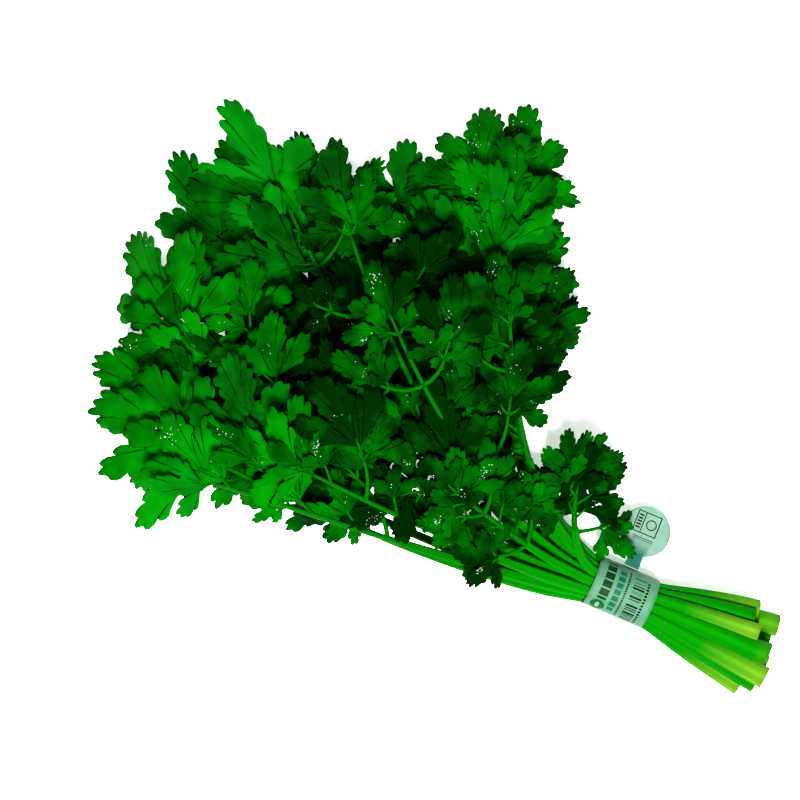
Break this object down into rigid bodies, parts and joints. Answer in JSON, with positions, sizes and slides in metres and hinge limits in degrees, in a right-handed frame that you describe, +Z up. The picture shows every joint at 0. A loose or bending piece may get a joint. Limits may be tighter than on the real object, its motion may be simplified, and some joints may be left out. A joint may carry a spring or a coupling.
{
  "type": "parsley bunch",
  "caption": "Bunch of fresh flat-leaf parsley lying down: cut stems held by a strap label, fanning out into divided, toothed leaves.",
  "frame": {"origin": "on the surface the bunch lies on, under the middle of its box", "axes": "+X along the tied stems from their cut ends towards the leaves; +Z up, away from the surface; the leaves bend towards -Y"},
  "size_m": [0.3358, 0.2346, 0.0738],
  "materials": {
    "stem": "satin, moist",
    "leaf": "satin, moist",
    "label": "translucent satin film"
  },
  "bodies": {
    "root": {"leaf_01": "leaf", "leaf_02": "leaf", "leaf_03": "leaf", "leaf_04": "leaf", "leaf_05": "leaf", "leaf_06": "leaf", "leaf_07": "leaf", "leaf_08": "leaf", "leaf_09": "leaf", "leaf_10": "leaf", "leaf_11": "leaf", "leaf_12": "leaf", "leaf_13": "leaf", "leaf_14": "leaf", "leaf_15": "leaf", "leaf_16": "leaf", "leaf_17": "leaf", "leaf_18": "leaf", "leaf_19": "leaf", "stem_01": "stem", "stem_02": "stem", "stem_03": "stem", "stem_04": "stem", "stem_05": "stem", "stem_06": "stem", "stem_07": "stem", "stem_08": "stem", "stem_09": "stem", "stem_10": "stem", "stem_11": "stem", "stem_12": "stem", "stem_13": "stem", "stem_14": "stem", "stem_15": "stem", "stem_16": "stem", "stem_17": "stem", "stem_18": "stem", "stem_19": "stem", "tie_label": "label"}
  },
  "joints": []
}
